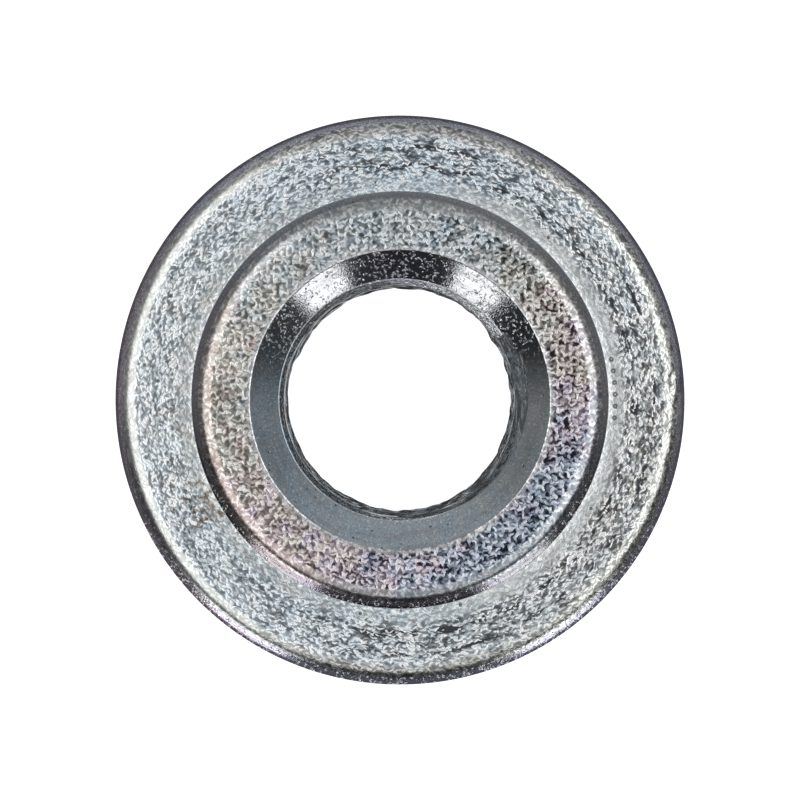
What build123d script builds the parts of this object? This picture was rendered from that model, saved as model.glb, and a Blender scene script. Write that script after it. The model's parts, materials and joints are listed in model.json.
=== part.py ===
from build123d import *

import os
from math import cos, radians, tan

# Hex weld nut with a round flange and a pilot boss: one piece of cold-formed, tapped steel.
# Millimetres. +Z runs up the thread axis. The hexagon's end stands on Z = 0, the round weld face
# looks up, and the pilot boss that centres the nut in the sheet's hole is on top.

# Thread M10 x 1.25, right hand. The solid holds its bore at the tapping size.
thread_diameter = 10.0
thread_pitch = 1.25
boss_entry_clearance = 0.75  # the boss end's countersink opens this far outside the thread
hexagon_entry_clearance = 0.4  # the same at the hexagon's end
entry_angle = 100.0  # included angle of both countersinks

# Hexagon
across_flats = 15.0
hexagon_corner_radius = 0.35
hexagon_root_radius = 0.6  # where the hexagon runs out into the flange
crown_angle = 30.0  # slope of the chamfer on the hexagon's end
crown_inset = 0.4  # that chamfer starts this far inside the flats

# Weld flange
nut_height = 10.0  # from the hexagon's end to the weld face
flange_diameter = 21.8
rim_height = 1.1  # the rim's straight part, between its two chamfers
rim_chamfer = 0.5  # at the weld face, 45 degrees
rim_edge_radius = 0.75  # where that chamfer meets the weld face
rim_back_chamfer = 0.35  # at the back, 45 degrees
flange_back_angle = 20.0  # the back is a cone that rises from the rim to the hexagon

# Pilot boss
boss_base_diameter = 15.95
boss_height = 0.47
boss_side_angle = 45.0  # slope of the side, up from the weld face
boss_edge_radius = 0.75

# Worked out from the sizes above
thread_radius = thread_diameter / 2
bore_radius = (thread_diameter - thread_pitch) / 2
boss_entry_radius = thread_radius + boss_entry_clearance
hexagon_entry_radius = thread_radius + hexagon_entry_clearance
entry_slope = 1 / tan(radians(entry_angle / 2))  # depth for each millimetre of radius
across_corners = across_flats / cos(radians(30))
crown_radius = across_flats / 2 - crown_inset
crown_slope = tan(radians(crown_angle))
flange_radius = flange_diameter / 2
rim_top = nut_height - rim_chamfer
rim_bottom = rim_top - rim_height
flange_back = rim_bottom - rim_back_chamfer
flange_back_radius = flange_radius - rim_back_chamfer
flange_cone_tip = flange_back - flange_back_radius * tan(radians(flange_back_angle))
boss_top = nut_height + boss_height
boss_base_radius = boss_base_diameter / 2
boss_top_radius = boss_base_radius - boss_height / tan(radians(boss_side_angle))


def turned(outline, rounds=()):
    """Turn a closed outline of (radius, height) corners round Z. rounds pairs a corner with its radius."""
    section = make_face(Polyline(*outline, close=True))
    for corner, radius in rounds:
        section = fillet(section.vertices().sort_by_distance(corner)[0], radius)
    return revolve(Plane.XZ * section, Axis.Z)


def flange_and_boss():
    """The round end: pilot boss, weld face, chamfered rim and conical back."""
    boss_edge = (boss_top_radius, boss_top)
    rim_edge = (flange_radius - rim_chamfer, nut_height)
    outline = [
        (0, boss_top),
        boss_edge,
        (boss_base_radius, nut_height),
        rim_edge,
        (flange_radius, rim_top),
        (flange_radius, rim_bottom),
        (flange_back_radius, flange_back),
        (0, flange_cone_tip),
    ]
    return turned(outline, [(boss_edge, boss_edge_radius), (rim_edge, rim_edge_radius)])


def hexagon():
    """The wrenching hexagon with rounded corners and a crowned end. Its far end lies inside the flange."""
    prism = extrude(RegularPolygon(across_corners / 2, 6), rim_bottom)
    prism = fillet(prism.edges().filter_by(Axis.Z), hexagon_corner_radius)
    crown_outline = [
        (0, 0),
        (crown_radius, 0),
        (across_corners, (across_corners - crown_radius) * crown_slope),
        (across_corners, rim_bottom),
        (0, rim_bottom),
    ]
    return prism & turned(crown_outline)


def threaded_hole():
    """What the tapping drill and the two countersinks take out."""
    boss_entry_depth = (boss_entry_radius - bore_radius) * entry_slope
    hexagon_entry_depth = (hexagon_entry_radius - bore_radius) * entry_slope
    outline = [
        (0, 0),
        (hexagon_entry_radius, 0),
        (bore_radius, hexagon_entry_depth),
        (bore_radius, boss_top - boss_entry_depth),
        (boss_entry_radius, boss_top),
        (0, boss_top),
    ]
    return turned(outline)


def weld_nut():
    """The whole nut."""
    body = flange_and_boss() + hexagon()
    curved_edges = body.edges().filter_by(GeomType.LINE, reverse=True)
    root = curved_edges.filter_by_position(Axis.Z, rim_bottom / 2, flange_back, inclusive=(False, False))
    body = fillet(root, hexagon_root_radius)
    return body - threaded_hole()


os.makedirs("parts", exist_ok=True)
export_step(weld_nut(), "parts/weld_nut.step")
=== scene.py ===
import json
from math import atan, cos, pi, radians, sin, tan, tau

import bpy
import numpy as np
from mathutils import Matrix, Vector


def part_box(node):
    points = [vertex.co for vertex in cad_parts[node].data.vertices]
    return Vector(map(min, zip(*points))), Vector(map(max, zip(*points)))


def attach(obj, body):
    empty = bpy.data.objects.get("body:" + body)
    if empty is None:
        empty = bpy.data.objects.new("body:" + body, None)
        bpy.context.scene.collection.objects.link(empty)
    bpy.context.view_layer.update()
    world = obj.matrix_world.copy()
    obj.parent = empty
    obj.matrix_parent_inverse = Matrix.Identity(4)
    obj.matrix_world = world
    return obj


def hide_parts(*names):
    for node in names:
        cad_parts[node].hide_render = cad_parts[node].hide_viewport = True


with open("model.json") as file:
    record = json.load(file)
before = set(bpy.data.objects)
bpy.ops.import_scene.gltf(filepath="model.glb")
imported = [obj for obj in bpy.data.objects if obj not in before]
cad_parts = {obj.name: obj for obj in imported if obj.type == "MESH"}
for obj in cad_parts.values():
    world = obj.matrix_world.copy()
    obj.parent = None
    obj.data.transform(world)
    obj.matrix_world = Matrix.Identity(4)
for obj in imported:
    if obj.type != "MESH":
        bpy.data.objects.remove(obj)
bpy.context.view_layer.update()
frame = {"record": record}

MM = 0.001

# -----------------------------------------------------------
# Sizes of the nut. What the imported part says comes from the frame, the rest is named here.
# -----------------------------------------------------------

mounts = {mount["name"]: mount for mount in frame["record"]["mounts"]}
low_corner, high_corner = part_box("weld_nut")

flange_radius = (high_corner.x - low_corner.x) / 2
boss_top = high_corner.z
weld_face = mounts["weld_face"]["pos_m"][2]
bore_radius = mounts["thread"]["dims"]["r_mm"] * MM
bore_half_length = mounts["thread"]["dims"]["length_mm"] / 2 * MM
bore_top = mounts["thread"]["pos_m"][2] + bore_half_length
bore_bottom = mounts["thread"]["pos_m"][2] - bore_half_length

thread_pitch = 1.25 * MM
thread_radius = bore_radius + thread_pitch / 2
boss_entry_radius = thread_radius + 0.75 * MM
hexagon_entry_radius = thread_radius + 0.4 * MM

across_flats = 15.0 * MM
hexagon_corner_radius = 0.35 * MM
hexagon_root_radius = 0.6 * MM
crown_slope = tan(radians(30))
crown_radius = across_flats / 2 - 0.4 * MM

rim_chamfer = 0.5 * MM
rim_edge_radius = 0.75 * MM
rim_height = 1.1 * MM
rim_back_chamfer = 0.35 * MM
flange_back_slope = tan(radians(20))

boss_base_radius = 15.95 / 2 * MM
boss_top_radius = boss_base_radius - (boss_top - weld_face)
boss_edge_radius = 0.75 * MM

worn_edge_radius = 0.08 * MM  # corners that the drawing leaves sharp
sharp_edge_radius = 0.025 * MM
boss_root_radius = 0.03 * MM

dent_place = 10.42 * MM, radians(3.6)  # radius and bearing of a small dent in the rim's edge
dent_size = 0.11 * MM, 0.38 * MM  # across and along the edge
dent_depth = 0.07 * MM
dent_slant = 0.35  # how far it leans outward as it runs along
dent_lip_place, dent_lip_share = 1.4, 0.7  # how far outward of the dent its raised lip lies, and how high

COLUMNS = 600  # points round the axis, a multiple of six so that each hexagon corner has one
bearing = np.arange(COLUMNS) * tau / COLUMNS


# -----------------------------------------------------------
# The nut's skin: closed rings round the axis, joined into one closed mesh
# -----------------------------------------------------------

def smooth_step(value, start, end):
    """0 at start, 1 at end, eased between. Works downward too."""
    share = np.clip((value - start) / (end - start), 0, 1)
    return share * share * (3 - 2 * share)


def ring(radius, height):
    """One ring of the skin: a (radius, height) pair for each column."""
    return np.stack([np.broadcast_to(radius, COLUMNS), np.broadcast_to(height, COLUMNS)], axis=1)


def hexagon_radius():
    """Distance from the axis to the hexagon's side for each column, with its corners rounded."""
    apothem = across_flats / 2
    half_side = radians(30)  # the bearing between a corner and the middle of a flat
    from_corner = (bearing + half_side) % (2 * half_side) - half_side
    flat = apothem / np.cos(half_side - np.abs(from_corner))
    centre = (apothem - hexagon_corner_radius) / cos(half_side)
    reach = hexagon_corner_radius**2 - (centre * np.sin(from_corner)) ** 2
    corner = centre * np.cos(from_corner) + np.sqrt(np.maximum(reach, 0))
    tangent_across = hexagon_corner_radius * sin(half_side)
    tangent_out = centre + hexagon_corner_radius * cos(half_side)
    return np.where(np.abs(from_corner) < atan(tangent_across / tangent_out), corner, flat)


def rounded(before, corner, after, radius, steps):
    """Rings that round the corner ring with an arc, on its way from the ring before to the ring after."""
    toward = before - corner
    away = after - corner
    toward /= np.linalg.norm(toward, axis=1, keepdims=True)
    away /= np.linalg.norm(away, axis=1, keepdims=True)
    half = np.arccos(np.clip((toward * away).sum(axis=1, keepdims=True), -1, 1)) / 2
    middle = toward + away
    middle /= np.linalg.norm(middle, axis=1, keepdims=True)
    centre = corner + middle * radius / np.sin(half)
    start = (corner + toward * radius / np.tan(half) - centre) / radius
    end = (corner + away * radius / np.tan(half) - centre) / radius
    turn = pi - 2 * half
    rings = []
    for share in np.linspace(0, 1, steps + 1):
        spoke = (np.sin((1 - share) * turn) * start + np.sin(share * turn) * end) / np.sin(turn)
        rings.append(centre + spoke * radius)
    return rings


def between(first, last, count):
    """Rings evenly spaced between two rings, without the two themselves."""
    return [first + (last - first) * (index + 1) / (count + 1) for index in range(count)]


def dented(face):
    """A ring of the flange face with the dent pressed into it, and the metal that it pushed up beside it."""
    along = (bearing - dent_place[1]) * face[:, 0] / dent_size[1]
    across = (face[:, 0] - dent_place[0]) / dent_size[0] - dent_slant * along
    pushed = dent_lip_share * np.exp(-((across - dent_lip_place) ** 2)) - np.exp(-(across**2))
    shift = dent_depth * pushed * np.exp(-(along**2))
    return face + np.stack([np.zeros(COLUMNS), shift], axis=1)


# What each face of the skin is finished as: an index into the nut's material slots.
FLANGE_FACE, PILOT_BOSS, TURNED_CONE, TAPPED_THREAD, FORMED_BACK = range(5)


def outside_rings():
    """Rings over the outside, from the boss end's countersink, down and round to the hexagon end's.

    Returns the rings, and the finish of the faces between each ring and the next.
    """
    rim_top = weld_face - rim_chamfer
    rim_bottom = rim_top - rim_height
    flange_back = rim_bottom - rim_back_chamfer
    flange_back_radius = flange_radius - rim_back_chamfer
    side = hexagon_radius()
    root_height = flange_back - (flange_back_radius - side) * flange_back_slope
    crown_height = (side - crown_radius) * crown_slope
    # each corner: its place, the radius and steps of its rounding, the rings spread over the stretch
    # that follows it, and the finishes of the rounding and of that stretch
    corners = [
        (ring(bore_radius, bore_top), 0, 0, 0, TURNED_CONE, TURNED_CONE),
        (ring(boss_entry_radius, boss_top), 0.1 * MM, 3, 3, PILOT_BOSS, PILOT_BOSS),
        (ring(boss_top_radius, boss_top), boss_edge_radius, 7, 1, PILOT_BOSS, TURNED_CONE),
        (ring(boss_base_radius, weld_face), boss_root_radius, 2, 6, TURNED_CONE, FLANGE_FACE),
        (ring(flange_radius - rim_chamfer, weld_face), rim_edge_radius, 7, 1, FLANGE_FACE, TURNED_CONE),
        (ring(flange_radius, rim_top), sharp_edge_radius, 2, 1, TURNED_CONE, FORMED_BACK),
        (ring(flange_radius, rim_bottom), worn_edge_radius, 2, 0, FORMED_BACK, FORMED_BACK),
        (ring(flange_back_radius, flange_back), 2 * worn_edge_radius, 2, 2, FORMED_BACK, FORMED_BACK),
        (ring(side, root_height), hexagon_root_radius, 5, 3, FORMED_BACK, FORMED_BACK),
        (ring(side, crown_height), worn_edge_radius, 2, 1, FORMED_BACK, FORMED_BACK),
        (ring(crown_radius, 0), worn_edge_radius, 2, 2, FORMED_BACK, FORMED_BACK),
        (ring(hexagon_entry_radius, 0), worn_edge_radius, 2, 0, TURNED_CONE, TURNED_CONE),
        (ring(bore_radius, bore_bottom), 0, 0, 0, TURNED_CONE, TURNED_CONE),
    ]
    hold = 0.04  # share of a countersink's length that keeps its own ring next to the rounded lip
    rings, finishes = [], []
    for number in range(1, len(corners) - 1):
        corner, radius, steps, fill, arc_finish, stretch_finish = corners[number]
        arc = rounded(corners[number - 1][0], corner, corners[number + 1][0], radius, steps)
        if radius == rim_edge_radius and arc_finish == FLANGE_FACE:
            arc = [dented(part) for part in arc]
        rings += arc
        finishes += [arc_finish] * steps + [stretch_finish]
        if fill:
            following, next_radius, next_steps = corners[number + 1][:3]
            next_arc = rounded(corner, following, corners[number + 2][0], next_radius, next_steps)
            rings += between(arc[-1], next_arc[0], fill)
            finishes += [stretch_finish] * fill
    first = rings[0] + (corners[0][0] - rings[0]) * hold
    last = rings[-1] + (corners[-1][0] - rings[-1]) * hold
    return [first] + rings + [last], [TURNED_CONE] + finishes


# Thread: rows that follow the helix, from the middle of one groove down to the middle of the next.
# The tap squeezed the crests up, so each is rounded at both lips and has a shallow seam between them.
entry_slope = (boss_top - bore_top) / (boss_entry_radius - bore_radius)  # of both countersinks
flank_angle = radians(30)
thread_depth = thread_radius - bore_radius
root_half = thread_pitch / 16
crest_start = root_half + thread_depth * tan(flank_angle)
lip_radius = 0.13 * MM
lip_steps = 3
seam_depth = 0.05 * MM
crest_lift = 0.02 * MM  # how far the squeezed crests stand proud of the tapping size
run_out = 0.03 * MM  # the thread's axis lies this far off the nut's
run_out_bearing = radians(-60)
thread_start = radians(22)  # bearing where the first groove would leave the countersink
first_groove_depth = 0.04 * MM  # it is hardly cut at first, and then deepens to the full thread
mouth_wear = 0.03 * MM  # the first crests stand back by this much, and later ones less and less
# Stretches of the helix, in turns from thread_start
mouth_wear_turns = 3.0, 0.8  # where the wear ends and where it is full
first_cut_turns = 0.12, 0.22
deepening_turns = 0.35, 0.60
ripple_size = 0.05 * MM
ripple_cycles = (3, 7, 12, 17, 27, 41)  # waves per turn, each of them a little off this
ripple_fade = 9  # waves per turn at which the ripple is half as deep


def upper_lip():
    """(height below the groove's middle, radius, share of the ripple, 1 for a crest) down over a lip."""
    turn = pi / 2 - flank_angle
    centre_offset = crest_start + lip_radius * tan(turn / 2)
    centre_radius = bore_radius + lip_radius
    lip = []
    for step in range(lip_steps + 1):
        angle = flank_angle + turn * step / lip_steps
        lip.append((centre_offset - lip_radius * cos(angle), centre_radius - lip_radius * sin(angle),
                    step / lip_steps, 1))
    return lip


upper_half = [(root_half, thread_radius, 0, 0)] + upper_lip()
seam = [(thread_pitch / 2, bore_radius + seam_depth, 0.5, 1)]
lower_half = [(thread_pitch - offset, *others) for offset, *others in reversed(upper_half)]
groove_rows = upper_half + seam + lower_half
ROWS_PER_TURN = len(groove_rows)


def crest_ripple(along):
    """Unevenness that the tap leaves on the crests, by the angle along the helix."""
    draw = np.random.default_rng(7)
    ripple = crest_lift + run_out * np.cos(along - run_out_bearing)
    for cycles in ripple_cycles:
        size = ripple_size / (1 + cycles / ripple_fade)
        ripple += size * np.sin(along * (cycles + draw.uniform(-0.5, 0.5)) + draw.uniform(0, tau))
    return ripple


def thread_rows():
    """(radius, height) of every thread row, cut back where the two countersinks take the thread away.

    The third array says which points lie on a countersink.
    """
    first_root = boss_top - (boss_entry_radius - thread_radius) * entry_slope
    last_root = (hexagon_entry_radius - thread_radius) * entry_slope
    # the height of the groove's middle at bearing zero, one turn or less above where it first shows
    start_height = first_root - root_half - thread_pitch * thread_start / tau
    turns_above = 1
    turns = int((first_root - last_root) / thread_pitch) + 2
    radius, height = [], []
    for turn in range(-turns_above, turns):
        along = turn + (thread_start - bearing) / tau
        worn = bore_radius + mouth_wear * smooth_step(along, *mouth_wear_turns)
        groove_depth = first_groove_depth * smooth_step(along, *first_cut_turns)
        groove_depth = groove_depth + thread_depth * smooth_step(along, *deepening_turns)
        rise = thread_pitch * bearing / tau
        for offset, reach, torn, crest in groove_rows:
            level = start_height - turn * thread_pitch - offset + rise
            cone = bore_radius + np.maximum(level - bore_top, 0) / entry_slope
            row = reach - torn * crest_ripple(bearing - turn * tau) + crest * (worn - bore_radius)
            height.append(level)
            radius.append(np.minimum(row, np.maximum(cone, worn) + groove_depth))
    radius, height = np.array(radius), np.array(height)

    cut = bore_radius + np.maximum(height - bore_top, bore_bottom - height) / entry_slope
    spare = radius - cut  # below zero where a countersink has taken the thread away
    gone = spare < 0
    new_radius, new_height = np.where(gone, cut, radius), height.copy()
    for step in (1, -1):
        other = np.roll(spare, -step, axis=0)
        edge = gone & (other >= 0) & ~(gone & (np.roll(spare, step, axis=0) >= 0) & (step == -1))
        edge[-1 if step == 1 else 0] = False
        share = np.where(edge, spare / np.where(edge, spare - other, 1), 0)
        new_radius = np.where(edge, radius + share * (np.roll(radius, -step, axis=0) - radius), new_radius)
        new_height = np.where(edge, height + share * (np.roll(height, -step, axis=0) - height), new_height)
    return new_radius, new_height, gone


def nut_mesh():
    """Points, faces and a finish for each face of the whole skin."""
    outside, outside_finishes = outside_rings()
    radius, height, on_countersink = thread_rows()
    rows = len(radius)
    top_ring, bottom_ring = outside[0], outside[-1]
    outside_points = np.array(outside).reshape(-1, 2)
    thread_points = np.stack([radius, height], axis=2).reshape(-1, 2)
    points = np.concatenate([outside_points, thread_points])
    on_cone = np.concatenate([np.ones(len(outside) * COLUMNS, bool), on_countersink.ravel()])
    spin = np.tile(bearing, len(outside) + rows)
    corners = np.stack([points[:, 0] * np.cos(spin), points[:, 0] * np.sin(spin), points[:, 1]], axis=1)

    def outside_point(index, column):
        return index * COLUMNS + column % COLUMNS

    top, bottom = 0, len(outside) - 1

    def thread_point(row, column):
        """A thread row's point. Rows above or below the thread's reach share the countersink's own ring."""
        if column == COLUMNS:
            row, column = row - ROWS_PER_TURN, 0
        if row < 0 or (row < rows and height[row, column] >= top_ring[column, 1]):
            return outside_point(top, column)
        if row >= rows or height[row, column] <= bottom_ring[column, 1]:
            return outside_point(bottom, column)
        return (len(outside) + row) * COLUMNS + column

    faces, finishes = [], []

    def add(face, finish):
        kept = [corner for index, corner in enumerate(face) if corner != face[index - 1]]
        if len(kept) > 2:
            faces.append(kept)
            finishes.append(finish)

    for index in range(len(outside) - 1):
        for column in range(COLUMNS):
            add([outside_point(index, column), outside_point(index + 1, column),
                 outside_point(index + 1, column + 1), outside_point(index, column + 1)],
                outside_finishes[index])
    for column in range(COLUMNS):
        following = column + 1
        closing = following == COLUMNS  # where a row meets the one a turn below
        for row in range(-1, rows + (ROWS_PER_TURN if closing else 0)):
            face = [thread_point(row + 1, column), thread_point(row, column),
                    thread_point(row, following), thread_point(row + 1, following)]
            add(face, TURNED_CONE if on_cone[face].all() else TAPPED_THREAD)
    used, renumbered = np.unique(np.concatenate(faces), return_inverse=True)
    ends = np.cumsum([len(face) for face in faces])
    faces = [part.tolist() for part in np.split(renumbered, ends[:-1])]
    return corners[used], faces, finishes


def build_nut():
    """The visible nut, one closed mesh in place of the plain solid."""
    crease_angle = radians(28)  # edges that turn by more than this are shaded sharp
    corners, faces, finishes = nut_mesh()
    mesh = bpy.data.meshes.new("zinc_plated_weld_nut")
    mesh.from_pydata(corners.tolist(), [], faces)
    mesh.polygons.foreach_set("material_index", finishes)
    mesh.validate()
    mesh.update()
    nut = bpy.data.objects.new("zinc_plated_weld_nut", mesh)
    bpy.context.scene.collection.objects.link(nut)
    mesh.shade_smooth()
    mesh.set_sharp_from_angle(angle=crease_angle)
    return nut


nut = build_nut()


# -----------------------------------------------------------
# Node helpers
# -----------------------------------------------------------

MIX_FACTOR, MIX_FIRST, MIX_SECOND, MIX_RESULT = 0, 6, 7, 2  # a colour Mix node's sockets
NUMBER_OPERATIONS = ("LENGTH", "DISTANCE", "DOT_PRODUCT")  # vector operations that give a number


def put(tree, kind, inputs=None, **settings):
    """Adds a node. An input given as a socket is linked, and any other value is set on the socket."""
    made = tree.nodes.new(kind)
    for name, value in settings.items():
        setattr(made, name, value)
    for name, value in (inputs or {}).items():
        if isinstance(value, bpy.types.NodeSocket):
            tree.links.new(value, made.inputs[name])
        else:
            made.inputs[name].default_value = value
    return made


def maths(tree, operation, *values, clamped=False):
    """One number worked out of up to three others."""
    made = put(tree, "ShaderNodeMath", dict(enumerate(values)), operation=operation, use_clamp=clamped)
    return made.outputs["Value"]


def times(tree, first, second):
    """Two numbers multiplied."""
    return maths(tree, "MULTIPLY", first, second)


def vector_maths(tree, operation, first, second=None):
    """One vector, or number, worked out of a vector and perhaps a second one or a scale."""
    sockets = {0: first}
    if second is not None:
        sockets["Scale" if operation == "SCALE" else 1] = second
    made = put(tree, "ShaderNodeVectorMath", sockets, operation=operation)
    return made.outputs["Value" if operation in NUMBER_OPERATIONS else "Vector"]


def combined(tree, x=0.0, y=0.0, z=0.0):
    """A vector made of three numbers."""
    return put(tree, "ShaderNodeCombineXYZ", {"X": x, "Y": y, "Z": z}).outputs["Vector"]


def parts_of(tree, vector):
    """The X, Y and Z of a vector."""
    return put(tree, "ShaderNodeSeparateXYZ", {"Vector": vector}).outputs


def noise(tree, place, scale, detail=2.0, roughness=0.5, distortion=0.0):
    """Cloudy noise, which strays about 0.5."""
    sockets = {"Vector": place, "Scale": scale, "Detail": detail, "Roughness": roughness,
               "Distortion": distortion}
    return put(tree, "ShaderNodeTexNoise", sockets).outputs["Fac"]


def eased(tree, value, start, end, low=0.0, high=1.0):
    """Runs from low to high, eased, while the value goes from start to end."""
    sockets = {"Value": value, "From Min": start, "From Max": end, "To Min": low, "To Max": high}
    return put(tree, "ShaderNodeMapRange", sockets, interpolation_type="SMOOTHSTEP").outputs["Result"]


def blend(tree, share, first, second, kind="MIX"):
    """The first colour with a share of the second."""
    sockets = {MIX_FACTOR: share, MIX_FIRST: first, MIX_SECOND: second}
    return put(tree, "ShaderNodeMix", sockets, data_type="RGBA", blend_type=kind).outputs[MIX_RESULT]


def laid_over(tree, base, *layers):
    """The base colour with each layer over it in turn: its mask, how much it covers there, its colour."""
    for mask, cover, layer in layers:
        base = blend(tree, times(tree, mask, cover), base, layer)
    return base


def built_up(tree, base, *layers):
    """The base value plus each layer in turn: its mask, and what it adds where the mask is full."""
    for mask, amount in layers:
        base = maths(tree, "MULTIPLY_ADD", mask, amount, base)
    return base


def effect(name, inputs, *outputs):
    """Starts a node group. Returns its tree, the sockets that come in and those that go out.

    An input is a number, a vector of three or a colour of four. Only an output named Color is a colour.
    """
    tree = bpy.data.node_groups.new(name, "ShaderNodeTree")
    for label, value in inputs.items():
        kind = "Float" if isinstance(value, float) else {3: "Vector", 4: "Color"}[len(value)]
        socket = tree.interface.new_socket(name=label, in_out="INPUT", socket_type="NodeSocket" + kind)
        socket.default_value = value
    for label in outputs:
        kind = "Color" if label == "Color" else "Float"
        tree.interface.new_socket(name=label, in_out="OUTPUT", socket_type="NodeSocket" + kind)
    return tree, tree.nodes.new("NodeGroupInput").outputs, tree.nodes.new("NodeGroupOutput")


def group(tree, node_tree, inputs):
    """Places an effect in a material with that material's own values."""
    return put(tree, "ShaderNodeGroup", inputs, node_tree=node_tree).outputs


def place_in_mm(tree):
    """Where a point lies on the nut, in millimetres."""
    return vector_maths(tree, "SCALE", put(tree, "ShaderNodeTexCoord").outputs["Object"], 1 / MM)


def from_axis(tree, place):
    """Distance from the axis, and the level direction out from it."""
    level = vector_maths(tree, "MULTIPLY", place, (1, 1, 0))
    return vector_maths(tree, "LENGTH", level), vector_maths(tree, "NORMALIZE", level)


# -----------------------------------------------------------
# Effects that more than one finish uses
# -----------------------------------------------------------

def plating_grain():
    """Worm-like zinc crystals, short and curved, with dark gaps, over a slower swell of the coat."""
    sockets = {"Crystal mm": 0.2, "Warp": 1.0, "Drawn mm": 0.0}
    tree, given, made = effect("plating_grain", sockets, "Height", "Tone")
    place = place_in_mm(tree)
    _, outward = from_axis(tree, place)
    drawn = vector_maths(tree, "SCALE", outward, given["Drawn mm"])
    place = vector_maths(tree, "SUBTRACT", place, drawn)
    fine = maths(tree, "DIVIDE", 1.0, given["Crystal mm"])

    def layer(scale, seed, detail=1.0):
        moved = vector_maths(tree, "ADD", place, (seed, seed, seed))
        return noise(tree, moved, times(tree, fine, scale), detail, distortion=given["Warp"])

    off_middle = maths(tree, "ABSOLUTE", maths(tree, "SUBTRACT", layer(1.0, 0.0), 0.5))
    worm = eased(tree, off_middle, 0.08, 0.0)
    crest = times(tree, worm, eased(tree, layer(0.7, 31.0), 0.40, 0.55))
    coat = layer(1.1, 57.0, 2.0)
    tone = built_up(tree, -0.85, (coat, 2.6), (crest, 0.45))
    tree.links.new(maths(tree, "MULTIPLY_ADD", coat, 2.5, crest), made.inputs["Height"])
    tree.links.new(maths(tree, "ADD", tone, 0.0, clamped=True), made.inputs["Tone"])
    return tree


def zinc_crystals():
    """Short bright crystals on a flat face, with dark gaps between them.

    They lie every way where Drawn is 0, and more and more along the circle as it nears 1.
    Tone runs from 0 in a gap to 1 on a bright crystal, Proud picks out the few that stand up.
    """
    sockets = {"Crystal mm": 0.16, "Slimness": 2.2, "Fill": 0.5, "Drawn": 0.0, "Middle mm": 9.0,
               "Proud share": 0.1}
    tree, given, made = effect("zinc_crystals", sockets, "Height", "Tone", "Proud")
    bend_mm = 0.24  # how far a crystal may be bent out of line
    soft_edge = 0.28
    dullest = 0.25  # the least that a crystal shines
    place = place_in_mm(tree)
    distance, outward = from_axis(tree, place)
    way = parts_of(tree, place)
    along_circle = maths(tree, "ADD", maths(tree, "ARCTAN2", way["Y"], way["X"]), pi / 2)
    bent = put(tree, "ShaderNodeTexNoise", {"Vector": place, "Scale": 4.5, "Detail": 2.0}).outputs["Color"]
    place = vector_maths(tree, "ADD", place, vector_maths(tree, "MULTIPLY", bent, (bend_mm, bend_mm, 0.0)))
    fine = maths(tree, "DIVIDE", 1.0, given["Crystal mm"])
    free = times(tree, maths(tree, "SUBTRACT", 1.0, given["Drawn"]), pi)

    def layer(seed):
        """How far inside its nearest crystal a point is, how bright that is, and whether it is proud."""
        moved = vector_maths(tree, "ADD", place, (seed, 2 * seed, 0))
        cells = put(tree, "ShaderNodeTexVoronoi", {"Vector": moved, "Scale": fine, "Randomness": 1.0},
                    voronoi_dimensions="2D").outputs
        draw = put(tree, "ShaderNodeSeparateColor", {"Color": cells["Color"]}).outputs
        aside = times(tree, maths(tree, "SUBTRACT", draw["Red"], 0.5), free)
        lie = combined(tree, z=maths(tree, "SUBTRACT", aside, along_circle))
        off = vector_maths(tree, "SCALE", vector_maths(tree, "SUBTRACT", moved, cells["Position"]), fine)
        turned = put(tree, "ShaderNodeVectorRotate", {"Vector": off, "Rotation": lie},
                     rotation_type="EULER_XYZ").outputs["Vector"]
        slim = combined(tree, x=1.0, y=given["Slimness"])
        reach = vector_maths(tree, "LENGTH", vector_maths(tree, "MULTIPLY", turned, slim))
        body = eased(tree, maths(tree, "SUBTRACT", reach, given["Fill"]), soft_edge, -soft_edge)
        shine = maths(tree, "MULTIPLY_ADD", draw["Green"], 1 - dullest, dullest)
        shown = times(tree, body, shine)
        chosen = maths(tree, "LESS_THAN", draw["Blue"], given["Proud share"])
        return body, shown, times(tree, shown, chosen)

    layers = [layer(seed) for seed in (0.0, 37.0, 71.0)]
    height, shine, proud = (maths(tree, "MAXIMUM", first, maths(tree, "MAXIMUM", second, third))
                            for first, second, third in zip(*layers))
    stretch = maths(tree, "DIVIDE", given["Middle mm"], maths(tree, "MULTIPLY_ADD", given["Drawn"], 2.0, 1.0))
    wound = vector_maths(tree, "ADD", vector_maths(tree, "SCALE", outward, stretch),
                         combined(tree, z=distance))
    swell = noise(tree, wound, fine, distortion=0.7)
    patch = noise(tree, place, 1.3, detail=1.0)
    tone = built_up(tree, -0.72, (patch, 0.5), (swell, 1.2), (shine, 0.90))
    tree.links.new(height, made.inputs["Height"])
    tree.links.new(maths(tree, "ADD", tone, 0.0, clamped=True), made.inputs["Tone"])
    tree.links.new(proud, made.inputs["Proud"])
    return tree


def plating_pits():
    """Small round pits. Only some of the cells that the surface is divided in have one."""
    sockets = {"Spacing mm": 0.5, "Radius mm": 0.07, "Share": 0.4}
    tree, given, made = effect("plating_pits", sockets, "Pit")
    cells = put(tree, "ShaderNodeTexVoronoi", {"Vector": place_in_mm(tree), "Randomness": 0.9,
                                               "Scale": maths(tree, "DIVIDE", 1.0, given["Spacing mm"])})
    away = times(tree, cells.outputs["Distance"], given["Spacing mm"])
    hollow = eased(tree, maths(tree, "DIVIDE", away, given["Radius mm"]), 1.0, 0.55)
    draw = put(tree, "ShaderNodeSeparateColor", {"Color": cells.outputs["Color"]}).outputs["Red"]
    chosen = maths(tree, "LESS_THAN", draw, given["Share"])
    tree.links.new(times(tree, hollow, chosen), made.inputs["Pit"])
    return tree


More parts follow.
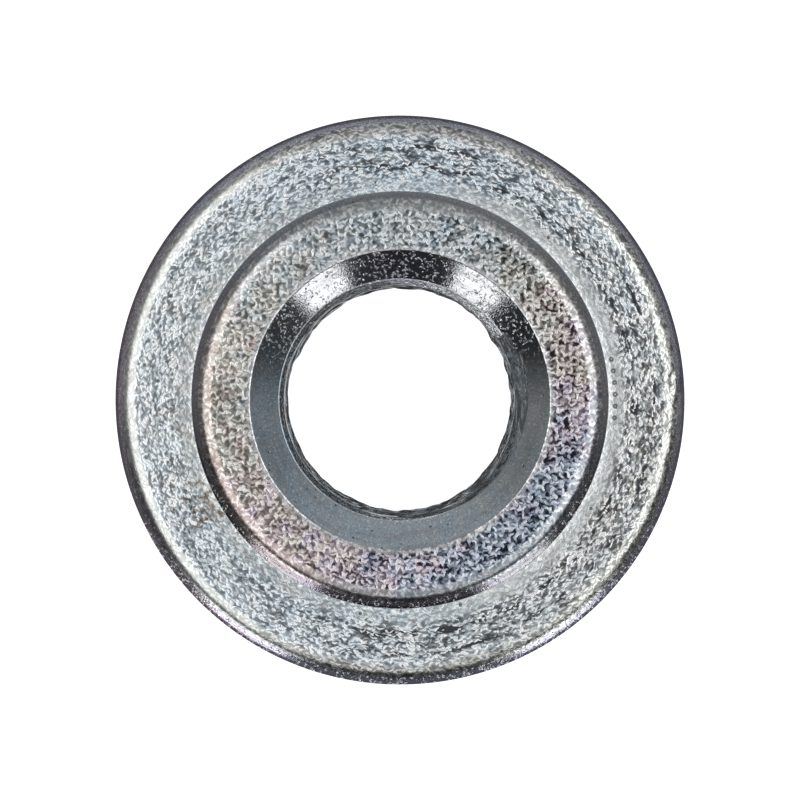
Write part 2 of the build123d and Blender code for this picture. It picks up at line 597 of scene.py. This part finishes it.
def turning_marks():
    """Broken rings that the lathe tool left round the axis."""
    sockets = {"Pitch mm": 0.3, "Breaks per turn": 20.0, "Threshold": 0.6}
    tree, given, made = effect("turning_marks", sockets, "Mark")
    place = place_in_mm(tree)
    distance, outward = from_axis(tree, place)
    fed = maths(tree, "MULTIPLY_ADD", parts_of(tree, place)["Z"], -1.7, distance)
    step = maths(tree, "DIVIDE", fed, given["Pitch mm"])
    around = vector_maths(tree, "SCALE", outward, maths(tree, "DIVIDE", given["Breaks per turn"], tau))
    wound = vector_maths(tree, "ADD", around, combined(tree, z=step))
    over = maths(tree, "SUBTRACT", noise(tree, wound, 1.0, roughness=0.55), given["Threshold"])
    tree.links.new(eased(tree, over, 0.0, 0.07), made.inputs["Mark"])
    return tree


def round_band():
    """1 between two distances from the axis, with soft edges."""
    tree, given, made = effect("round_band", {"Inner mm": 5.0, "Outer mm": 6.0, "Blur mm": 0.1}, "Band")
    distance, _ = from_axis(tree, place_in_mm(tree))
    inside = maths(tree, "DIVIDE", maths(tree, "SUBTRACT", distance, given["Inner mm"]), given["Blur mm"])
    outside = maths(tree, "DIVIDE", maths(tree, "SUBTRACT", given["Outer mm"], distance), given["Blur mm"])
    both = maths(tree, "MINIMUM", inside, outside)
    tree.links.new(eased(tree, both, -1.0, 1.0), made.inputs["Band"])
    return tree


# Colours that the passivated film mirrors, thin to thick: the thickness that each belongs to, and how much
# more red and blue than green it has.
FILM_COLOURS = ((0.00, -0.17, 0.16), (0.15, -0.12, 0.10), (0.28, -0.08, 0.05), (0.40, -0.03, 0.00),
                (0.50, 0.02, -0.06), (0.61, 0.10, -0.03), (0.74, 0.10, 0.13), (0.87, -0.07, 0.16),
                (1.00, -0.12, 0.11))
FILM_BRIGHTNESS = 0.8  # the green level of them all


def colour(brightness, red, blue):
    """A near-grey: its green level, and how much more or less red and blue it has than green."""
    return (brightness * (1 + red), brightness, brightness * (1 + blue), 1)


def passivation_film():
    """A metal seen through its passivated film, whose thickness sets a faint interference colour.

    A shading lean is painted light and shade: it makes the metal lighter on one side of the nut and darker on
    the other. A film lean makes the film thicker on one side, an oval on two facing sides.
    """
    sockets = {"Metal": (0.6, 0.6, 0.6, 1), "Painted shading lean": (0, 0, 0), "Film": 0.4, "Film lean": (0, 0, 0),
               "Film oval": (0, 0, 0), "Patch mm": 1.0, "Drift": 0.4}
    tree, given, made = effect("passivation_film", sockets, "Color")
    place = place_in_mm(tree)
    _, outward = from_axis(tree, place)
    way = parts_of(tree, outward)
    squares = [maths(tree, "POWER", way[axis], 2.0) for axis in "XY"]
    squared = maths(tree, "SUBTRACT", *squares)
    crossed = times(tree, times(tree, way["X"], way["Y"]), 2.0)
    facing = combined(tree, x=squared, y=crossed)
    patches = noise(tree, place, maths(tree, "DIVIDE", 1.0, given["Patch mm"]), detail=3.0, roughness=0.6)
    drift = times(tree, maths(tree, "SUBTRACT", patches, 0.5), given["Drift"])
    thickness = given["Film"]
    for more in (vector_maths(tree, "DOT_PRODUCT", outward, given["Film lean"]),
                 vector_maths(tree, "DOT_PRODUCT", facing, given["Film oval"]), drift):
        thickness = maths(tree, "ADD", thickness, more)
    mirrored = put(tree, "ShaderNodeValToRGB", {"Fac": thickness})
    ramp = mirrored.color_ramp
    while len(ramp.elements) < len(FILM_COLOURS):
        ramp.elements.new(0.5)
    for stop, (position, red, blue) in zip(ramp.elements, FILM_COLOURS):
        stop.position = position
        stop.color = colour(FILM_BRIGHTNESS, red, blue)
    # painted light and shade: the metal is lighter on the side that the lean points to and darker on the far
    # side
    leaning = vector_maths(tree, "DOT_PRODUCT", outward, given["Painted shading lean"])
    shade = maths(tree, "MULTIPLY_ADD", leaning, 1 / FILM_BRIGHTNESS, 1 / FILM_BRIGHTNESS)
    metal = vector_maths(tree, "SCALE", given["Metal"], shade)
    tree.links.new(vector_maths(tree, "MULTIPLY", metal, mirrored.outputs["Color"]), made.inputs["Color"])
    return tree


def one_side():
    """1 on the side of the nut that a level direction points to, easing to 0 on the far side."""
    tree, given, made = effect("one_side", {"Direction": (1, 0, 0)}, "Share")
    _, outward = from_axis(tree, place_in_mm(tree))
    along = vector_maths(tree, "DOT_PRODUCT", outward, given["Direction"])
    tree.links.new(eased(tree, along, -1.0, 1.0), made.inputs["Share"])
    return tree


GRAIN, CRYSTALS, PITS, MARKS = plating_grain(), zinc_crystals(), plating_pits(), turning_marks()
BAND, FILM, SIDE = round_band(), passivation_film(), one_side()


def band(tree, inner, outer, blur):
    """A mask between two distances from the axis, in millimetres."""
    return group(tree, BAND, {"Inner mm": inner, "Outer mm": outer, "Blur mm": blur})["Band"]


def side(tree, direction):
    """A mask for one side of the nut."""
    return group(tree, SIDE, {"Direction": direction})["Share"]


def crystalline(tree, tint, grain, contrast, gap_colour=1.0):
    """The tint with its crystals: pale and bright, over dark gaps whose colour is gap_colour as strong."""
    darkest, proud_gain, pale_colour = 0.06, 0.45, 0.7
    tone = grain["Tone"]
    level = maths(tree, "MULTIPLY_ADD", maths(tree, "SUBTRACT", tone, 0.5), contrast, 1.0)
    if "Proud" in grain:
        level = built_up(tree, level, (grain["Proud"], proud_gain))
    level = maths(tree, "MAXIMUM", level, darkest)
    strength = eased(tree, tone, 0.0, 1.0, gap_colour, pale_colour)
    tinted = put(tree, "ShaderNodeHueSaturation", {"Color": tint, "Saturation": strength}).outputs["Color"]
    return blend(tree, 1.0, tinted, level, "MULTIPLY")


def bare_finish(name):
    """A new metal finish with nothing on it yet: the material, its tree and its shader."""
    material = bpy.data.materials.new(name)
    material.use_nodes = True
    shader = material.node_tree.nodes["Principled BSDF"]
    shader.inputs["Metallic"].default_value = 1.0
    return material, material.node_tree, shader


def complete(tree, shader, base, roughness, height):
    """Wires a finish's colour, roughness and height in millimetres into its shader."""
    bump = put(tree, "ShaderNodeBump", {"Height": height, "Distance": 1 * MM, "Strength": 1.0})
    tree.links.new(base, shader.inputs["Base Color"])
    tree.links.new(roughness, shader.inputs["Roughness"])
    tree.links.new(bump.outputs["Normal"], shader.inputs["Normal"])


# -----------------------------------------------------------
# Finishes. Distances are in millimetres, and so are the heights that built_up adds to a surface.
# -----------------------------------------------------------

def punched_row(tree):
    """A short row of small round marks on the flange, close outside the boss on the right."""
    row_radius, spacing, mark_radius = 8.23, 0.45, 0.10
    first, last = -0.083, 0.191  # bearings in radians
    place = place_in_mm(tree)
    distance, _ = from_axis(tree, place)
    way = parts_of(tree, place)
    bearing_here = maths(tree, "ARCTAN2", way["Y"], way["X"])
    around = times(tree, maths(tree, "SUBTRACT", bearing_here, first), row_radius)
    off = combined(tree, x=maths(tree, "PINGPONG", around, spacing / 2),
                   y=maths(tree, "SUBTRACT", distance, row_radius))
    away = vector_maths(tree, "LENGTH", off)
    off_rim = maths(tree, "ABSOLUTE", maths(tree, "SUBTRACT", away, 0.6 * mark_radius))
    beyond = mark_radius / row_radius
    after_first = maths(tree, "GREATER_THAN", bearing_here, first - beyond)
    before_last = maths(tree, "LESS_THAN", bearing_here, last + beyond)
    in_row = times(tree, after_first, before_last)
    return times(tree, eased(tree, off_rim, 0.7 * mark_radius, 0.2 * mark_radius), in_row)


def brown_stain(tree):
    """A ragged patch of small stained flecks on the flange's left."""
    middle, reach = (-7.6, -4.2, 10.0), 2.4
    place = place_in_mm(tree)
    away = vector_maths(tree, "DISTANCE", place, middle)
    near = maths(tree, "SUBTRACT", 1.0, maths(tree, "DIVIDE", away, reach), clamped=True)
    flecks = noise(tree, place, 3.6, detail=3.0, roughness=0.6)
    ragged = maths(tree, "MULTIPLY_ADD", near, 0.32, maths(tree, "SUBTRACT", flecks, 0.72))
    return eased(tree, ragged, 0.0, 0.10)


def flange_tool_marks(tree, right):
    """Where the lathe tool left marks on the flange face: in two rings, and fewer in between."""
    marks = group(tree, MARKS, {"Pitch mm": 0.21, "Breaks per turn": 75.0, "Threshold": 0.49})["Mark"]
    in_rings = maths(tree, "MAXIMUM", band(tree, 8.75, 9.15, 0.12), band(tree, 9.60, 9.85, 0.10))
    in_between = times(tree, band(tree, 8.6, 9.95, 0.2), 0.6)
    tooled = maths(tree, "MAXIMUM", in_rings, in_between)
    mostly_right = eased(tree, right, 0.0, 0.5, low=0.35)
    return times(tree, marks, times(tree, tooled, mostly_right))


def flange_face_plating():
    """Bluish bright zinc on the flange face, with turning marks, pits and a brown stain."""
    material, tree, shader = bare_finish("flange_face_plating")
    right = side(tree, (1, 0, 0))
    rim_edge = band(tree, 10.14, 10.6, 0.05)
    boss_foot = band(tree, 7.8, 8.55, 0.2)

    # the metal's lean paints light toward -X and +Y and shade toward +X and -Y
    tint = group(tree, FILM, {"Metal": colour(0.72, 0, 0), "Painted shading lean": (-0.05, 0.04, 0), "Film": 0.26,
                              "Film lean": (0.05, -0.05, 0), "Film oval": (0.08, -0.04, 0), "Patch mm": 0.7,
                              "Drift": 0.5})["Color"]
    pale_foot = times(tree, boss_foot, eased(tree, right, 0.5, 1.0))
    dull_foot = times(tree, boss_foot, eased(tree, right, 0.55, 0.05, high=0.75))
    tint = laid_over(tree, tint, (rim_edge, 0.8, colour(0.69, -0.01, -0.05)))
    tint = blend(tree, pale_foot, tint, colour(0.76, -0.04, 0.01))
    tint = blend(tree, dull_foot, tint, colour(0.72, 0.06, -0.07), "MULTIPLY")

    grain = group(tree, CRYSTALS, {"Crystal mm": 0.215, "Slimness": 2.7, "Fill": 0.43, "Drawn": 0.5,
                                   "Middle mm": 9.2})
    calm_rim = times(tree, rim_edge, eased(tree, right, 0.25, 0.05, low=-0.2, high=-0.65))
    calm_foot = times(tree, boss_foot, eased(tree, right, 0.4, 0.9, low=-0.34, high=-0.62))
    rough = maths(tree, "ADD", calm_foot, maths(tree, "ADD", calm_rim, 1.0))
    contrast = times(tree, rough, eased(tree, right, 0.0, 0.4, low=1.42, high=1.62))
    coated = crystalline(tree, tint, grain, contrast, gap_colour=1.3)

    marks = flange_tool_marks(tree, right)
    dark_marks = times(tree, marks, eased(tree, grain["Tone"], 0.85, 0.50))
    pits = group(tree, PITS, {"Spacing mm": 0.55, "Radius mm": 0.10, "Share": 0.35})["Pit"]
    pits = maths(tree, "MAXIMUM", pits, punched_row(tree))
    stain = brown_stain(tree)
    marked = blend(tree, dark_marks, coated, colour(0.06, -0.05, 0.10))
    pitted = laid_over(tree, marked, (pits, 0.85, colour(0.06, 0.0, 0.03)))
    stained = blend(tree, stain, pitted, colour(0.40, 0.20, -0.12), "MULTIPLY")

    roughness = built_up(tree, 0.25, (pits, 0.2), (stain, 0.25))
    crystal_height = times(tree, grain["Height"], times(tree, rough, 0.0030))
    height = built_up(tree, crystal_height, (marks, -0.006), (pits, -0.004))
    complete(tree, shader, stained, roughness, height)
    return material


def pilot_boss_plating():
    """Coarser, faintly iridescent zinc on the boss's top and rounded edge."""
    material, tree, shader = bare_finish("pilot_boss_plating")
    right = side(tree, (0.8, -0.3, 0))
    left = side(tree, (-1, -0.3, 0))
    lip = band(tree, 5.6, 5.9, 0.08)
    edge = band(tree, 7.25, 7.8, 0.05)
    worn = maths(tree, "MAXIMUM", lip, edge)

    # the metal's lean paints light toward -X and +Y and shade toward +X and -Y
    tint = group(tree, FILM, {"Metal": colour(0.55, 0, 0), "Painted shading lean": (-0.06, 0.08, 0), "Film": 0.58,
                              "Film lean": (0.12, -0.25, 0), "Film oval": (0.045, -0.055, 0), "Patch mm": 0.9,
                              "Drift": 0.7})["Color"]
    tint = laid_over(tree, tint, (worn, 0.6, colour(0.56, -0.02, 0.01)),
                     (lip, 0.8, colour(0.68, -0.01, 0.02)))
    warm = times(tree, edge, eased(tree, left, 0.84, 1.0))
    tint = blend(tree, warm, tint, colour(0.93, 0.09, -0.03), "MULTIPLY")

    grain = group(tree, CRYSTALS, {"Crystal mm": 0.25, "Slimness": 2.6, "Fill": 0.43, "Middle mm": 6.6})
    rough = maths(tree, "MULTIPLY_ADD", worn, -0.5, 1.0)
    contrast = times(tree, rough, maths(tree, "MULTIPLY_ADD", right, 0.6, 1.5))
    coated = crystalline(tree, tint, grain, contrast, gap_colour=1.9)
    pits = group(tree, PITS, {"Spacing mm": 0.6, "Radius mm": 0.08, "Share": 0.3})["Pit"]
    pitted = laid_over(tree, coated, (pits, 0.5, colour(0.1, 0.05, 0.0)))

    roughness = built_up(tree, 0.22, (pits, 0.2))
    crystal_height = times(tree, grain["Height"], times(tree, rough, 0.0035))
    complete(tree, shader, pitted, roughness, built_up(tree, crystal_height, (pits, -0.010)))
    return material


def turned_cone_plating():
    """Smooth zinc on the chamfers, the boss's side and the countersinks, torn at the bore's mouth.

    Faces that look to the front carry proud crystals, which sparkle. The colour also carries painted light
    and shade: plainer and bluer tints on faces that look to the front, a darker boss side, and at the mouth a
    painted dark line and bright line, with the mouth darker on the left and lighter on the right.
    """
    material, tree, shader = bare_finish("turned_cone_plating")
    rim = band(tree, 10.2, 11.5, 0.05)
    boss_side = band(tree, 7.6, 8.1, 0.03)
    mouth = band(tree, 4.20, 4.62, 0.04)
    left = side(tree, (-1, -0.2, 0))
    right = side(tree, (1, 0.1, 0))
    facing = parts_of(tree, put(tree, "ShaderNodeNewGeometry").outputs["Normal"])["Y"]
    front = eased(tree, facing, -0.1, -0.5)
    far_front = eased(tree, facing, -0.58, -0.63)

    # the metal's lean paints light toward +X and shade toward -X
    tint = group(tree, FILM, {"Metal": colour(0.62, 0, 0), "Painted shading lean": (0.02, 0, 0),
                              "Film": maths(tree, "MULTIPLY_ADD", rim, 0.16, 0.22),
                              "Film lean": (0.10, 0.05, 0), "Patch mm": 1.0, "Drift": 0.5})["Color"]
    # Painted highlight and shade colour, set by which way a face looks: faces that look to the front get a
    # plainer, darker tint, and those that look straight to the front a bluer one.
    tint = laid_over(tree, tint, (front, 0.8, colour(0.56, -0.01, 0.02)))
    tint = blend(tree, far_front, tint, colour(0.56, 0.03, 0.18))
    # Painted shade: the boss's side is darkened.
    tint = blend(tree, boss_side, tint, colour(0.58, 0.04, 0.03), "MULTIPLY")
    tint = laid_over(tree, tint, (rim, 0.8, colour(0.59, -0.01, 0.18)))
    warm = times(tree, maths(tree, "MAXIMUM", rim, boss_side), eased(tree, left, 0.86, 0.98))
    tint = blend(tree, warm, tint, colour(0.95, 0.11, -0.03), "MULTIPLY")

    grain = group(tree, CRYSTALS, {"Crystal mm": 0.085, "Slimness": 1.4, "Fill": 0.42, "Proud share": 0.10})
    needles = group(tree, CRYSTALS, {"Crystal mm": 0.19, "Slimness": 6.0, "Fill": 0.60, "Proud share": 0.04})
    marks = group(tree, MARKS, {"Pitch mm": 0.14, "Breaks per turn": 10.0, "Threshold": 0.50})["Mark"]
    pits = group(tree, PITS, {"Spacing mm": 0.36, "Radius mm": 0.065, "Share": 0.28})["Pit"]
    coated = crystalline(tree, tint, grain, 0.32, gap_colour=1.8)
    # Over the grain: darker turning marks, then a dark line and a bright line round the mouth, which are the
    # painted shade and painted highlight of a small step there, then dark pits.
    pitted = laid_over(tree, coated, (marks, 0.30, colour(0.35, 0, 0)),
                       (band(tree, 4.58, 4.63, 0.02), 0.6, colour(0.12, 0, 0)),
                       (band(tree, 4.50, 4.55, 0.02), 0.5, colour(1.0, 0, 0)),
                       (pits, 0.75, colour(0.08, 0, 0)))
    # Painted shade and light at the bore's mouth: it is darker on the left and lighter on the right.
    torn = blend(tree, mouth, pitted, eased(tree, right, 0.0, 1.0, low=0.3, high=1.7), "MULTIPLY")

    # faces that lean about this much to the front carry only a few proud crystals
    off_clean_lean = maths(tree, "ABSOLUTE", maths(tree, "ADD", facing, 0.56))
    standing = times(tree, front, eased(tree, off_clean_lean, 0.02, 0.09, low=0.3))
    proud = times(tree, maths(tree, "MAXIMUM", grain["Proud"], needles["Proud"]), standing)
    sparkling = blend(tree, proud, torn, (1, 1, 1, 1))

    burr = group(tree, GRAIN, {"Crystal mm": 0.17, "Warp": 1.0, "Drawn mm": 0.8})["Height"]
    burr = times(tree, burr, mouth)
    crystal_height = times(tree, grain["Height"], 0.0010)
    height = built_up(tree, crystal_height, (proud, 0.020), (pits, -0.008), (burr, 0.035))
    roughness = built_up(tree, 0.11, (mouth, 0.15), (marks, 0.04), (proud, 0.22))
    complete(tree, shader, sparkling, roughness, height)
    return material


def tapped_thread_plating():
    """Thin, torn plating in the tapped thread, with cutting oil dried in its grooves."""
    material, tree, shader = bare_finish("tapped_thread_plating")
    tint = group(tree, FILM, {"Metal": colour(0.36, 0, 0), "Film": 0.26, "Film lean": (0.05, 0.10, 0),
                              "Patch mm": 0.8, "Drift": 0.6})["Color"]
    grain = group(tree, GRAIN, {"Crystal mm": 0.17, "Warp": 1.2, "Drawn mm": 2.0})
    marks = group(tree, MARKS, {"Pitch mm": 0.12, "Breaks per turn": 24.0, "Threshold": 0.5})["Mark"]
    coated = crystalline(tree, tint, grain, 0.9)
    torn = laid_over(tree, coated, (marks, 0.6, colour(0.10, 0.06, -0.05)))
    height = built_up(tree, times(tree, grain["Height"], 0.004), (marks, -0.008))
    complete(tree, shader, torn, built_up(tree, 0.24, (marks, 0.15)), height)
    return material


def formed_back_plating():
    """Zinc over the cold-formed hexagon, the flange's back and the rim's upright side."""
    material, tree, shader = bare_finish("formed_back_plating")
    tint = group(tree, FILM, {"Metal": colour(0.40, 0, 0), "Film": 0.32, "Film lean": (0.08, 0.05, 0),
                              "Film oval": (0.04, 0.04, 0), "Patch mm": 1.5, "Drift": 0.7})["Color"]
    grain = group(tree, GRAIN, {"Crystal mm": 0.22, "Warp": 0.9})
    pits = group(tree, PITS, {"Spacing mm": 0.7, "Radius mm": 0.10, "Share": 0.3})["Pit"]
    coated = crystalline(tree, tint, grain, 0.6)
    pitted = laid_over(tree, coated, (pits, 0.5, colour(0.2, 0.05, 0.0)))
    height = built_up(tree, times(tree, grain["Height"], 0.0028), (pits, -0.012))
    complete(tree, shader, pitted, built_up(tree, 0.18, (pits, 0.2)), height)
    return material


for finish in (flange_face_plating, pilot_boss_plating, turned_cone_plating, tapped_thread_plating,
               formed_back_plating):
    nut.data.materials.append(finish())
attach(nut, "root")
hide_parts("weld_nut")


# -----------------------------------------------------------
# Studio
# -----------------------------------------------------------

def staged(name, points, faces, material):
    """A piece of studio gear, which isn't part of the nut."""
    mesh = bpy.data.meshes.new(name)
    mesh.from_pydata(points, [], faces)
    mesh.materials.append(material)
    gear = bpy.data.objects.new(name, mesh)
    bpy.context.scene.collection.objects.link(gear)
    return gear


def reflections_only(gear):
    """The nut mirrors this gear, and nothing else meets it."""
    gear.visible_camera = False
    gear.visible_diffuse = False
    gear.visible_transmission = False
    gear.visible_volume_scatter = False
    gear.visible_shadow = False


def matt(name, base, roughness):
    """A material without gloss, and its shader."""
    material = bpy.data.materials.new(name)
    material.use_nodes = True
    shader = material.node_tree.nodes["Principled BSDF"]
    shader.inputs["Base Color"].default_value = base
    shader.inputs["Roughness"].default_value = roughness
    shader.inputs["Specular IOR Level"].default_value = 0.0
    return material, shader


def seen_background(tree):
    """1 for the rays that see a background: straight from the camera, or by way of metal or glass."""
    path = put(tree, "ShaderNodeLightPath").outputs
    either = maths(tree, "MAXIMUM", path["Is Camera Ray"], path["Is Glossy Ray"])
    return maths(tree, "MAXIMUM", either, path["Is Transmission Ray"])


def white_table():
    """The pale table. It glows for the rays that see it, and still takes the nut's shadow."""
    half_width, table_glow = 3.0, 0.93
    top = -0.01 * MM  # just clear of the nut's end
    material, shader = matt("white_table", (0.8, 0.8, 0.8, 1), 0.9)
    shader.inputs["Emission Color"].default_value = (1, 1, 1, 1)
    tree = material.node_tree
    glow = times(tree, seen_background(tree), table_glow)
    tree.links.new(glow, shader.inputs["Emission Strength"])
    corners = [(-half_width, -half_width, top), (half_width, -half_width, top),
               (half_width, half_width, top), (-half_width, half_width, top)]
    return staged("table", corners, [(0, 1, 2, 3)], material)


def white_room():
    """A white surround for the rays that see it, and a plain soft light for the table."""
    light_on_table, white_seen = 0.5, 1.0
    world = bpy.data.worlds.new("white_room")
    bpy.context.scene.world = world
    world.use_nodes = True
    tree = world.node_tree
    background = tree.nodes["Background"]
    background.inputs["Color"].default_value = (1, 1, 1, 1)
    strength = eased(tree, seen_background(tree), 0.0, 1.0, light_on_table, white_seen)
    tree.links.new(strength, background.inputs["Strength"])


# The reflectors stand in a shell round the nut. Angles are in degrees: a zenith runs from straight up, and a
# bearing round from +X. A tone of 1 is white.
wall_tone = 0.225
wall_gain_behind, wall_loss_in_front, wall_gain_right = 0.15, 0.20, 0.03
wall_foot = 80, 90  # zeniths between which the foot of the wall takes the next two changes
foot_gain_in_front, foot_loss_behind = 0.04, 0.03
ceiling_tone, ceiling_loss_behind = 0.90, 0.40
ceiling_edge = 62, 50  # the wall passes into the ceiling between these zeniths
# Cards in front of the ceiling: bearing of the middle, half width, top, foot, softness of the ends, and tone
side_cards = {
    "left": (180, 60, 10, 51, 6, 1.43),
    "right": (6, 48, 10, 51, 6, 1.47),
    "behind": (90, 32, 13, 52, 8, 0.50),
    "in_front": (-90, 28, 13, 50, 8, 0.62),
}
card_foot_softness = 4
lens_reach = 6  # the camera's dark opening
lens_aside = 3  # it lies this far from straight up, on the right
lens_softness = 2
lens_tone = 0.12


def reflector_tone(zenith, bearing_here):
    """How bright the reflectors round the nut are in a direction."""
    east, north = np.cos(np.radians(bearing_here)), np.sin(np.radians(bearing_here))
    behind = smooth_step(north, 0.2, 0.95)
    far_behind = smooth_step(north, 0.4, 1.0)
    in_front = smooth_step(-north, -0.1, 0.4)
    wall = wall_tone + wall_gain_behind * far_behind - wall_loss_in_front * in_front
    wall = wall + wall_gain_right * np.maximum(east, 0)
    foot_change = foot_gain_in_front * in_front - foot_loss_behind * behind
    wall = wall + smooth_step(zenith, *wall_foot) * foot_change
    ceiling = ceiling_tone - ceiling_loss_behind * behind
    tone = wall + (ceiling - wall) * smooth_step(zenith, *ceiling_edge)
    for middle, half_width, top, foot, soft, brightness in side_cards.values():
        off = np.abs((bearing_here - middle + 180) % 360 - 180)
        across = smooth_step(off, half_width + soft, half_width - soft)
        below_top = smooth_step(zenith, top - soft / 2, top + soft / 2)
        above_foot = smooth_step(zenith, foot + card_foot_softness, foot - card_foot_softness)
        tone = tone + (brightness - tone) * across * below_top * above_foot
    off_lens = np.hypot(zenith * east - lens_aside, zenith * north)
    in_lens = smooth_step(off_lens, lens_reach + lens_softness, lens_reach - lens_softness)
    return tone + (lens_tone - tone) * in_lens


def reflectors():
    """A shell of reflector cards round the nut, seen in the nut alone."""
    material = bpy.data.materials.new("reflector_cards")
    material.use_nodes = True
    tree = material.node_tree
    tree.nodes.remove(tree.nodes["Principled BSDF"])
    tone = put(tree, "ShaderNodeAttribute", attribute_name="tone").outputs["Fac"]
    glow = put(tree, "ShaderNodeEmission", {"Strength": tone}).outputs["Emission"]
    tree.links.new(glow, tree.nodes["Material Output"].inputs["Surface"])
    material.cycles.emission_sampling = "NONE"
    reach = 300 * MM
    zeniths = np.linspace(0.5, 91.5, 92)
    bearings = np.linspace(0, 360, 180, endpoint=False)
    slope, turn = np.meshgrid(np.radians(zeniths), np.radians(bearings), indexing="ij")
    points = np.stack([np.sin(slope) * np.cos(turn), np.sin(slope) * np.sin(turn), np.cos(slope)], axis=2)
    points = points.reshape(-1, 3) * reach + (0, 0, weld_face)
    around = len(bearings)
    faces = [(row * around + column, row * around + (column + 1) % around,
              (row + 1) * around + (column + 1) % around, (row + 1) * around + column)
             for row in range(len(zeniths) - 1) for column in range(around)]
    faces.append(tuple(range(around)))
    cards = staged("reflector_cards", points.tolist(), faces, material)
    shades = reflector_tone(np.degrees(slope), np.degrees(turn)).ravel()
    cards.data.attributes.new("tone", "FLOAT", "POINT").data.foreach_set("value", shades)
    reflections_only(cards)


def dark_cloth():
    """A dark ring on the table, out of the camera's sight, that the nut's lower slopes mirror."""
    inner, outer, lift, around = 26 * MM, 320 * MM, 0.3 * MM, 90
    material, _ = matt("dark_cloth", (0.20, 0.20, 0.21, 1), 1.0)
    turn = np.arange(around) * tau / around
    points = [(reach * cos(angle), reach * sin(angle), lift) for reach in (inner, outer) for angle in turn]
    faces = [(column, around + column, around + (column + 1) % around, (column + 1) % around)
             for column in range(around)]
    reflections_only(staged("dark_cloth", points, faces, material))


lamp_zenith = 84
lamp_distance = 280 * MM
lamp_width, lamp_height = 100 * MM, 84 * MM
lamp_radiance = 2.1


def lamp(name, bearing_here):
    """A soft rectangular lamp that faces the nut from low down."""
    data = bpy.data.lights.new(name, "AREA")
    data.shape = "RECTANGLE"
    data.size = lamp_width
    data.size_y = lamp_height
    data.energy = lamp_radiance * pi * lamp_width * lamp_height
    light = bpy.data.objects.new(name, data)
    bpy.context.scene.collection.objects.link(light)
    turn, slope = radians(bearing_here), radians(lamp_zenith)
    aim = np.array([sin(slope) * cos(turn), sin(slope) * sin(turn), cos(slope)])
    light.location = aim * lamp_distance + (0, 0, weld_face)
    light.rotation_euler = (slope, 0, turn + pi / 2)
    light.visible_camera = False


def camera():
    """Looks straight down on the weld face from far off."""
    distance = 375 * MM
    view_width = 30.59 * MM
    data = bpy.data.cameras.new("camera")
    data.lens = data.sensor_width * distance / view_width
    data.clip_end = 10
    eye = bpy.data.objects.new("camera", data)
    bpy.context.scene.collection.objects.link(eye)
    eye.location = (0, 0, weld_face + distance)
    bpy.context.scene.camera = eye


white_table()
white_room()
reflectors()
dark_cloth()
lamp("lamp_front_right", -55.4)
lamp("lamp_front_left", -124.6)
camera()
bpy.context.scene.view_settings.view_transform = "Standard"
